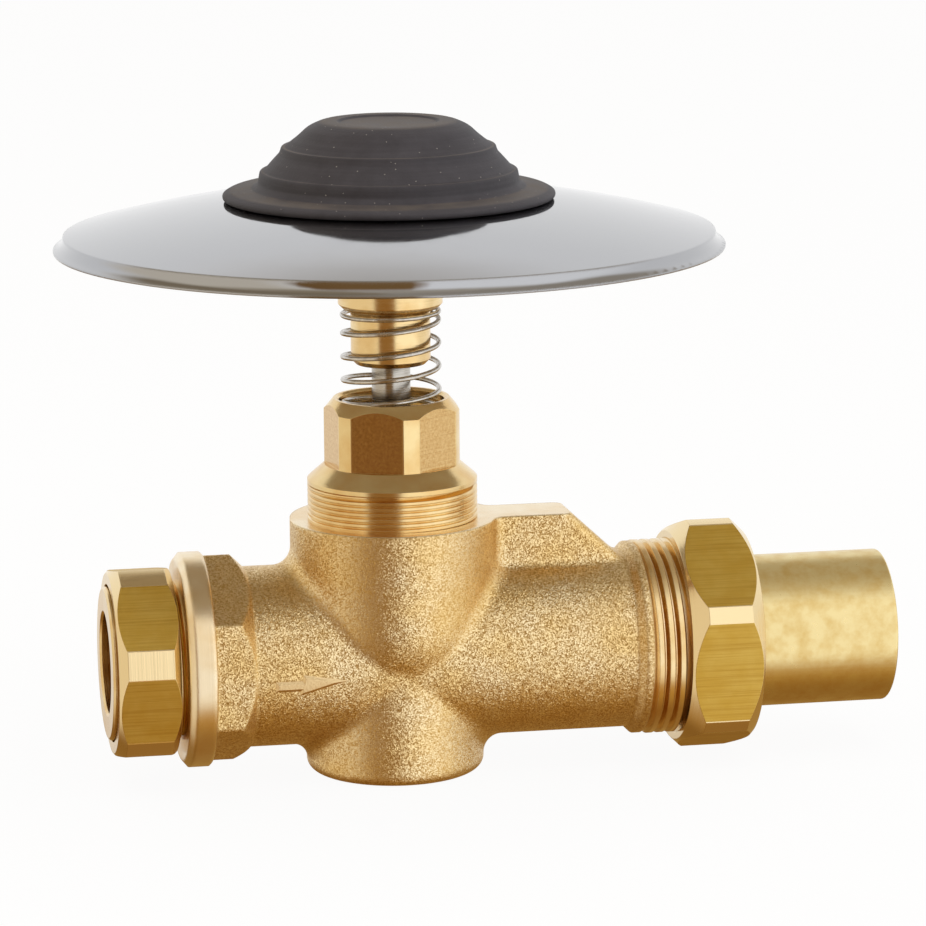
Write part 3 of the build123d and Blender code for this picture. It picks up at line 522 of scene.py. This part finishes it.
# %% Pad rubber
DUST_APART, DUST_SIZE = 1.6, 0.07       # mm between specks, and a speck's share of that
RING_SHARE = 0.25             # how far the rings darken the skin
RING_STRETCH = (0.02, 0.02, 1.0)        # the mould's rings lie level
UPWARD_TINT_LEAST = 0.3             # share of the upward tint where it is weakest

pad_rubber, tree, shader, mm = finish("moulded_pad_rubber", Specular_IOR_Level=0.35)
facing = add(tree, SPLIT, {0: add(tree, "ShaderNodeTexCoord", out="Normal")}, out="Z")
clouds = add(tree, NOISE, {"Vector": mm, "Scale": 1 / 4.0, "Detail": 4.0, "Roughness": 0.6})
cloud = add(tree, RANGE, {"Value": clouds, "From Min": 0.3, "From Max": 0.65})
# Faces that look up are tinted lighter and browner in patches.
upward = add(tree, RANGE, {"Value": facing, "From Min": 0.93, "From Max": 0.995})
upward_tint = add(tree, RANGE, {"Value": cloud, "To Min": UPWARD_TINT_LEAST, "To Max": 1.0})
upward_tint = add(tree, MATH, {0: upward, 1: upward_tint}, operation="MULTIPLY")
skin = add(tree, MIX, {0: cloud, FIRST: "#3a383d", SECOND: "#454348"}, **COLOURS)
skin = add(tree, MIX, {0: upward_tint, FIRST: skin, SECOND: "#5c5550"}, **COLOURS)
level_place = add(tree, VECTOR, {0: mm, 1: RING_STRETCH}, operation="MULTIPLY")
rings = add(tree, NOISE, {"Vector": level_place, "Scale": 1 / 0.5, "Detail": 2.0})
ring = add(tree, RANGE, {"Value": rings, **BAND})
ring = add(tree, MATH, {0: ring, 1: RING_SHARE}, operation="MULTIPLY")
skin = add(tree, MIX, {0: ring, FIRST: skin, SECOND: "#2c2a2f"}, **COLOURS)
dust = add(tree, "ShaderNodeTexVoronoi", {"Vector": mm, "Scale": 1 / DUST_APART})
speck = add(tree, MATH, {0: dust, 1: DUST_SIZE}, operation="LESS_THAN")
skin = add(tree, MIX, {0: speck, FIRST: skin, SECOND: "#8d8985"}, **COLOURS)
rough = add(tree, RANGE, {"Value": clouds, **SPREAD, "To Min": 0.56, "To Max": 0.70})
grit = add(tree, NOISE, {"Vector": mm, "Scale": 1 / 0.5, "Detail": 3.0})
feed(tree, shader, Base_Color=skin, Roughness=rough)
surface = add(tree, MATH, {0: grit, 1: rings}, operation="ADD")
relief(tree, shader, surface, depth=0.05, edge=0.3)
print("rubber with dust and rings:", pad_rubber.name)

# %% Seals and flat gaskets
soft = {}
for name, grain, dark, bright, smooth, dull in (
        ("nitrile_seal_rubber", 2.0, "#1d1d1f", "#29292b", 0.40, 0.55),
        ("vulcanised_fibre", 0.5, "#7d3b2c", "#96503c", 0.75, 0.85)):
    soft[name], tree, shader, mm = finish(name)
    clouds = add(tree, NOISE, {"Vector": mm, "Scale": 1 / grain, "Detail": 2.0})
    tone = add(tree, MIX, {0: clouds, FIRST: dark, SECOND: bright}, **COLOURS)
    rough = add(tree, RANGE, {"Value": clouds, **SPREAD, "To Min": smooth, "To Max": dull})
    feed(tree, shader, Base_Color=tone, Roughness=rough)
print("soft finishes:", *soft)

# %% [markdown]
# ## Finishes on the solids
# Each solid takes one finish. The list below says which, in the words of the parts list.

# %% Give every solid its finish
worn_by = {
    cast_brass: ["valve_body"],
    inlet_bar: ["inlet_screw"],
    nut_bar: ["union_nut"],
    pipe_turned: ["inlet_ring", "inlet_olive"],
    head_turned: ["headwork"],
    stem_turned: ["plunger", "gland_bush", "seal_spacer", "seat_ring", "valve_disc", "disc_nut"],
    tube_brass: ["outlet_tail"],
    chrome: ["pedal_plate"],
    steels["ground_stainless_steel"]: ["stem"],
    steels["spring_wire_steel"]: ["return_spring"],
    steels["zinc_plated_steel"]: ["pad_retainer", "plate_screw"],
    pad_rubber: ["pedal_pad"],
    soft["nitrile_seal_rubber"]: ["stem_seal_upper", "stem_seal_lower", "seat_o_ring", "valve_washer"],
    soft["vulcanised_fibre"]: ["headwork_gasket", "union_gasket"],
}
for material, solids in worn_by.items():
    for solid in solids:
        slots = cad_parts[solid].data.materials
        slots.clear()
        slots.append(material)
print("finishes on", sum(len(solids) for solids in worn_by.values()), "of", len(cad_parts), "solids")

# %% [markdown]
# ## Trees that draw along a path
# A thread and a spring are the same idea: one profile swept along a helix. Geometry Nodes do that
# with the Spiral curve, which leaves every size as an input. A small function sets a tree's inputs by
# their identifiers, takes the result as a plain mesh and drops the modifier, so the finished piece is
# ordinary geometry.

# %% From a tree to a plain mesh
METAL_EDGE = radians(25)      # faces that meet at more than this keep a crisp edge


def inputs_of(tree, **kinds):
    """Adds the named inputs to a tree and returns its input node's outputs."""
    for name, kind in kinds.items():
        tree.interface.new_socket(name.replace("_", " "), in_out="INPUT", socket_type="NodeSocket" + kind)
    tree.interface.new_socket("Geometry", in_out="OUTPUT", socket_type="NodeSocketGeometry")
    return tree.nodes.new("NodeGroupInput").outputs


def grown(name, tree, **values):
    """A plain mesh object made by that tree with those inputs."""
    piece = bpy.data.objects.new(name, bpy.data.meshes.new(name + "_seed"))
    scene.collection.objects.link(piece)
    maker = piece.modifiers.new("maker", "NODES")
    maker.node_group = tree
    for item in tree.interface.items_tree:
        key = item.name.replace(" ", "_")
        if item.in_out == "INPUT" and key in values:
            maker[item.identifier] = values[key]
    ready = piece.evaluated_get(bpy.context.evaluated_depsgraph_get())
    mesh = bpy.data.meshes.new_from_object(ready)
    piece.modifiers.remove(maker)
    piece.data = mesh
    mesh.name = name
    mesh.shade_smooth()
    mesh.set_sharp_from_angle(angle=METAL_EDGE)
    print(name, "has", len(mesh.polygons), "faces")
    return piece


print("a tree's result becomes a plain mesh")

# %% [markdown]
# ## Screw threads
# The solids are drawn at the root of each thread, because a modelled helix would weigh down every
# CAD step. Here the ridge itself is wound on: a flat-topped profile on a right-hand helix that dies
# away at both ends, as a die leaves it, and sinks a little into the root so that no gap shows. On the
# headwork a foot wider than the pitch lets neighbouring turns meet above the root, so that the groove
# between them is shallow.

# %% Thread tree
SINK = 0.15 * MM                        # depth of the ridge's foot inside the root
CREST_SHARE = 0.45                      # width of the ridge's top as a share of the pitch
RUN_OUT = 0.06                          # share of the length in which the ridge dies away

thread = bpy.data.node_groups.new("screw_thread", "GeometryNodeTree")
size = inputs_of(thread, Root_Radius="Float", Depth="Float", Pitch="Float", Length="Float", Steps="Int",
                 Root_Share="Float", Place="Vector", Turn="Vector", Finish="Material")
turns = add(thread, MATH, {0: size["Length"], 1: size["Pitch"]}, operation="DIVIDE")
wound = add(thread, "GeometryNodeCurveSpiral", {
    "Resolution": size["Steps"], "Rotations": turns, "Start Radius": size["Root Radius"],
    "End Radius": size["Root Radius"], "Height": size["Length"], "Reverse": True})
wound = add(thread, "GeometryNodeSetCurveNormal", {"Curve": wound}, mode="Z_UP")
factor = add(thread, "GeometryNodeSplineParameter", out="Factor")
from_end = add(thread, MATH, {0: factor, 1: 0.5}, operation="PINGPONG")
taper = add(thread, RANGE, {"Value": from_end, "From Max": RUN_OUT})
profile = add(thread, "GeometryNodeCurvePrimitiveQuadrilateral", {
    "Height": add(thread, MATH, {0: size["Depth"], 1: SINK}, operation="ADD"),
    "Bottom Width": add(thread, MATH, {0: size["Pitch"], 1: size["Root Share"]}, operation="MULTIPLY"),
    "Top Width": add(thread, MATH, {0: size["Pitch"], 1: CREST_SHARE}, operation="MULTIPLY"),
    "Offset": 0.0}, mode="TRAPEZOID")
lift = add(thread, MATH, {0: size["Depth"], 1: SINK}, operation="SUBTRACT")
lift = add(thread, MATH, {0: lift, 1: 0.5}, operation="MULTIPLY")
profile = add(thread, "GeometryNodeTransform", {
    "Geometry": profile, "Translation": add(thread, "ShaderNodeCombineXYZ", {1: lift})})
profile = add(thread, "GeometryNodeTransform", {"Geometry": profile, "Rotation": (0, 0, -pi / 2)})
ridge = add(thread, "GeometryNodeCurveToMesh", {
    "Curve": wound, "Profile Curve": profile, "Scale": taper, "Fill Caps": True})
ridge = add(thread, "GeometryNodeTransform", {
    "Geometry": ridge, "Translation": size["Place"], "Rotation": size["Turn"]})
ridge = add(thread, "GeometryNodeRealizeInstances", {0: ridge})
ridge = add(thread, "GeometryNodeSetMaterial", {0: ridge, "Material": size["Finish"]})
add(thread, "NodeGroupOutput", {0: ridge})
print("thread tree with", len(thread.nodes), "nodes")

# %% [markdown]
# Three threads show: the headwork's above the boss, the outlet's beside the union nut, and one turn
# of the inlet screw's at the flange.

# %% Wind the threads
UPRIGHT, LYING = (0.0, 0.0, 0.0), (0.0, pi / 2, 0.0)
threads = {
    "headwork_thread": dict(
        Root_Radius=14.48 * MM, Depth=0.92 * MM, Pitch=1.0 * MM, Length=6.9 * MM, Steps=96,
        Root_Share=1.9, Place=(0.0, 0.0, 46.3 * MM), Turn=UPRIGHT, Finish=stem_turned),
    "outlet_thread": dict(
        Root_Radius=16.67 * MM, Depth=1.2 * MM, Pitch=2.0 * MM, Length=7.6 * MM, Steps=96,
        Root_Share=1.0, Place=(44.6 * MM, 0.0, PIPE_AXIS * MM), Turn=LYING, Finish=pipe_turned),
    "inlet_thread": dict(
        Root_Radius=13.58 * MM, Depth=0.9 * MM, Pitch=1.5 * MM, Length=3.0 * MM, Steps=96,
        Root_Share=1.0, Place=(-42.0 * MM, 0.0, PIPE_AXIS * MM), Turn=LYING, Finish=pipe_turned),
}
for name, sizes in threads.items():
    piece = grown(name, thread, **sizes)
    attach(piece, "valve")

# %% [markdown]
# ## Return spring
# The spring is wound from 0.9 mm wire, right-handed. Both end coils are closed, so that they lie flat
# on the cup's floor and under the plunger, and the coils between stand 4.25 mm apart. The height is
# therefore not a straight line of the turns: it creeps for the first and last one. The open coils lean
# a little, as in the photograph.

# %% Spring tree
COIL_STEPS, WIRE_SIDES = 48, 14

spring_tree = bpy.data.node_groups.new("coil_spring", "GeometryNodeTree")
size = inputs_of(spring_tree, Coil_Radius="Float", Wire="Float", Low="Float", Open_Rise="Float",
                 Open_Turns="Float", Lean="Float", Start="Vector", Finish="Material")
turns = add(spring_tree, MATH, {0: size["Open Turns"], 1: 2.0}, operation="ADD")
last_turn = add(spring_tree, MATH, {0: size["Open Turns"], 1: 1.0}, operation="ADD")
wire_half = add(spring_tree, MATH, {0: size["Wire"], 1: 0.5}, operation="MULTIPLY")
flat_coil = add(spring_tree, "GeometryNodeCurveSpiral", {
    "Resolution": COIL_STEPS, "Rotations": turns, "Start Radius": size["Coil Radius"],
    "End Radius": size["Coil Radius"], "Height": 0.0, "Reverse": True})
flat_coil = add(spring_tree, "GeometryNodeTransform", {"Geometry": flat_coil, "Rotation": size["Start"]})
factor = add(spring_tree, "GeometryNodeSplineParameter", out="Factor")
turn = add(spring_tree, MATH, {0: factor, 1: turns}, operation="MULTIPLY")
place = add(spring_tree, SPLIT, {0: add(spring_tree, "GeometryNodeInputPosition")}).node.outputs
climb = add(spring_tree, MATH, {0: size["Low"], 1: wire_half}, operation="ADD")
for start, full, rise in ((0.0, 1.0, size["Wire"]), (1.0, last_turn, size["Open Rise"]),
                          (last_turn, turns, size["Wire"])):
    part = add(spring_tree, RANGE, {"Value": turn, "From Min": start, "From Max": full, "To Max": rise})
    climb = add(spring_tree, MATH, {0: climb, 1: part}, operation="ADD")
from_end = add(spring_tree, MATH, {0: factor, 1: 0.5}, operation="PINGPONG")
slope = add(spring_tree, MATH, {0: from_end, 1: size["Lean"]}, operation="MULTIPLY")
climb = add(spring_tree, MATH, {0: place["X"], 1: slope, 2: climb}, operation="MULTIPLY_ADD")
risen = add(spring_tree, "ShaderNodeCombineXYZ", {0: place["X"], 1: place["Y"], 2: climb})
coil = add(spring_tree, "GeometryNodeSetPosition", {"Geometry": flat_coil, "Position": risen})
section = add(spring_tree, "GeometryNodeCurvePrimitiveCircle", {
    "Resolution": WIRE_SIDES, "Radius": wire_half})
coil = add(spring_tree, "GeometryNodeCurveToMesh", {
    "Curve": coil, "Profile Curve": section, "Fill Caps": True})
coil = add(spring_tree, "GeometryNodeRealizeInstances", {0: coil})
coil = add(spring_tree, "GeometryNodeSetMaterial", {0: coil, "Material": size["Finish"]})
add(spring_tree, "NodeGroupOutput", {0: coil})
print("spring tree with", len(spring_tree.nodes), "nodes")

# %% [markdown]
# The spring's own solid says where the cup's floor and the plunger's shoulder are.

# %% Wind the spring
WIRE, COIL_RADIUS = 0.9, 8.7
OPEN_TURNS, LEAN = 4.0, 0.05
WIRE_START = radians(67.8)    # where the lower end of the wire lies

spring_low, spring_high = (corner.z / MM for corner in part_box("return_spring"))
spring_height = spring_high - spring_low
spring = grown("wound_spring", spring_tree, Coil_Radius=COIL_RADIUS * MM, Wire=WIRE * MM,
               Low=spring_low * MM, Open_Rise=(spring_height - 3 * WIRE) * MM, Open_Turns=OPEN_TURNS,
               Lean=LEAN, Start=(0.0, 0.0, WIRE_START), Finish=steels["spring_wire_steel"])
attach(spring, "valve")
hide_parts("return_spring")
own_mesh(spring)

# %% [markdown]
# ## Rubber pad
# The pad is a solid of revolution: a thin flange that lies over the dome, a short upright body, a cone,
# a ridge, another cone and a dished top. A spun outline is the direct way to make it. Rubber has no
# knife edges, so each corner of the outline is rounded first, by its own radius, and the underside
# follows the plate with a little air, as the real flange does.

# %% Outline with rounded corners
ARC_STEPS = 4
SIDE_SHARE = 0.45             # an arc takes up no more than this of a side
RUBBER_EDGE = radians(40)     # faces that meet at more than this keep a crisp edge


def rounded(corners):
    """Points of an outline whose corners (r, z, radius) are replaced by short arcs."""
    points = []
    for i, (r, z, radius) in enumerate(corners):
        here = Vector((r, z))
        if radius == 0 or i in (0, len(corners) - 1):
            points.append(here)
            continue
        back = Vector(corners[i - 1][:2]) - here
        ahead = Vector(corners[i + 1][:2]) - here
        cut = min(radius, SIDE_SHARE * back.length, SIDE_SHARE * ahead.length)
        first, last = here + back.normalized() * cut, here + ahead.normalized() * cut
        for k in range(ARC_STEPS + 1):
            t = k / ARC_STEPS
            points.append((1 - t) ** 2 * first + 2 * t * (1 - t) * here + t ** 2 * last)
    return points


def spun(name, outline, steps, material):
    """A closed mesh of an outline (r, z) in millimetres, spun round the stem."""
    shape = bmesh.new()
    rings = []
    for point in outline:
        if point.x < 1e-6:
            rings.append([shape.verts.new((0, 0, point.y * MM))])
            continue
        rings.append([shape.verts.new((point.x * MM * cos(2 * pi * k / steps),
                                       point.x * MM * sin(2 * pi * k / steps), point.y * MM))
                      for k in range(steps)])
    for inner, outer in zip(rings, rings[1:]):
        for k in range(steps):
            corners = [inner[k % len(inner)], outer[k % len(outer)],
                       outer[(k + 1) % len(outer)], inner[(k + 1) % len(inner)]]
            shape.faces.new(list(dict.fromkeys(corners)))
    bmesh.ops.recalc_face_normals(shape, faces=shape.faces)
    mesh = bpy.data.meshes.new(name)
    shape.to_mesh(mesh)
    shape.free()
    mesh.materials.append(material)
    mesh.shade_smooth()
    mesh.set_sharp_from_angle(angle=RUBBER_EDGE)
    piece = bpy.data.objects.new(name, mesh)
    scene.collection.objects.link(piece)
    print(name, "has", len(mesh.polygons), "faces")
    return piece


print("outlines are rounded and then spun")

# %% [markdown]
# The outline runs from the top's middle down the outside and back under the flange to the pocket over
# the retainer. Outside, each corner is a radius, a drop from the pad's top and its own rounding. In the
# pocket, each is a radius and a rise above the plate's crown.

# %% Spin the pad
PLATE_RADIUS = 226.5          # sphere under the flange
FLANGE_RADIUS = 29.8
PAD_SAG = 0.3                 # the soft flange hangs this much lower than the stiff solid
PAD_ROOF = 3.4                # rubber over the retainer's hub

PAD_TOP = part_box("pedal_pad")[1].z / MM
FLANGE_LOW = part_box("pedal_pad")[0].z / MM
PLATE_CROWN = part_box("pad_retainer")[0].z / MM
PLATE_TOP = FLANGE_LOW + PLATE_RADIUS - sqrt(PLATE_RADIUS ** 2 - FLANGE_RADIUS ** 2)
under = [(r, PLATE_TOP - PLATE_RADIUS + sqrt(PLATE_RADIUS ** 2 - r ** 2), 0.0)
         for r in (26.0, 22.0, 17.0, 12.02)]
outside = [
    (0.0, 0.48, 0), (4.0, 0.44, 0), (8.6, 0.40, 0.3), (9.1, 0.02, 0.3), (12.0, 0.02, 0.9),
    (14.5, 1.1, 1.0), (16.2, 2.7, 0.8), (18.5, 4.5, 0.3), (19.15, 4.5, 0.35), (19.4, 5.3, 0.5),
    (19.6, 5.75, 0.3), (21.0, 7.25, 0.8), (22.3, 8.75, 0.3), (23.05, 8.85, 0.4), (23.3, 10.0, 0.6),
    (23.4, 11.0, 0.8), (24.4, 11.85, 1.0), (28.6, 12.25, 1.2), (FLANGE_RADIUS, 12.95, 0.7),
    (FLANGE_RADIUS, 13.65, 0.5),
]
pocket = [(10.0, 0.5 - PAD_SAG), (10.0, 2.95), (15.5, 2.95), (15.5, 5.1)]
pad_outline = [(r, PAD_TOP - drop, radius) for r, drop, radius in outside]
pad_outline += [(29.2, FLANGE_LOW + 0.02 - PAD_SAG, 0.4)]
pad_outline += [(r, z - PAD_SAG, radius) for r, z, radius in under]
pad_outline += [(r, PLATE_CROWN + rise, 0) for r, rise in pocket]
pad_outline += [(6.5, PAD_TOP - PAD_ROOF, 0), (0.0, PAD_TOP - PAD_ROOF, 0)]
pad = spun("moulded_pad", rounded(pad_outline), steps=128, material=pad_rubber)
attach(pad, "pedal")
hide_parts("pedal_pad")

# %% [markdown]
# ## Flow arrow
# The pattern maker set a small raised arrow on the inlet side of the body, to show which way the water
# runs. It stands 0.4 mm proud of the round pipe with sloping sides, as a casting's draft makes them, so
# that its upper edges catch the light and its lower edges are dark. The outline is drawn flat, its
# sides are made by an inset, and the whole is then laid on the cylinder.

# %% Draw the arrow flat
PIPE_RADIUS = 16.4
ARROW_STAND, ARROW_SINK, ARROW_DRAFT = 0.42, 0.4, 0.55
arrow_outline = [(-24.2, -3.0), (-19.8, -3.0), (-19.8, -3.9), (-10.9, -1.4), (-19.2, 0.05),
                 (-19.4, -1.05), (-24.2, -1.05)]

shape = bmesh.new()
rim = [shape.verts.new((x, z, 0.0)) for x, z in arrow_outline]
top = shape.faces.new(rim)
top.normal_update()
bmesh.ops.inset_region(shape, faces=[top], thickness=ARROW_DRAFT,
                       use_even_offset=True, use_boundary=True)
for corner in top.verts:
    corner.co.z = ARROW_STAND
rim = [min(shape.verts, key=lambda corner: (corner.co - Vector((x, z, 0.0))).length)
       for x, z in arrow_outline]
foot = [shape.verts.new((corner.co.x, corner.co.y, -ARROW_SINK)) for corner in rim]
for k in range(len(rim)):
    after = (k + 1) % len(rim)
    shape.faces.new((rim[k], rim[after], foot[after], foot[k]))
shape.faces.new(list(reversed(foot)))
bmesh.ops.triangulate(shape, faces=shape.faces, ngon_method="EAR_CLIP")
print("flat arrow has", len(shape.faces), "faces")

# %% Lay the arrow on the pipe
rubbed_brass, tree, shader, mm = finish(
    "rubbed_cast_brass", Metallic=1.0, Base_Color="#efd3a0", Roughness=0.36)
wear = add(tree, NOISE, {"Vector": mm, "Scale": 1 / 0.4, "Detail": 2.0})
relief(tree, shader, wear, depth=0.04, edge=0.12)
for corner in shape.verts:
    x, rise, stand = corner.co
    outward = Vector((0.0, -sqrt(PIPE_RADIUS ** 2 - rise ** 2), rise)) / PIPE_RADIUS
    corner.co = (Vector((x, 0.0, PIPE_AXIS)) + outward * (PIPE_RADIUS + stand)) * MM
bmesh.ops.recalc_face_normals(shape, faces=shape.faces)
arrow_mesh = bpy.data.meshes.new("flow_arrow")
shape.to_mesh(arrow_mesh)
shape.free()
arrow_mesh.materials.append(rubbed_brass)
arrow = bpy.data.objects.new("flow_arrow", arrow_mesh)
scene.collection.objects.link(arrow)
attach(arrow, "valve")
print("flow arrow has", len(arrow_mesh.polygons), "faces")
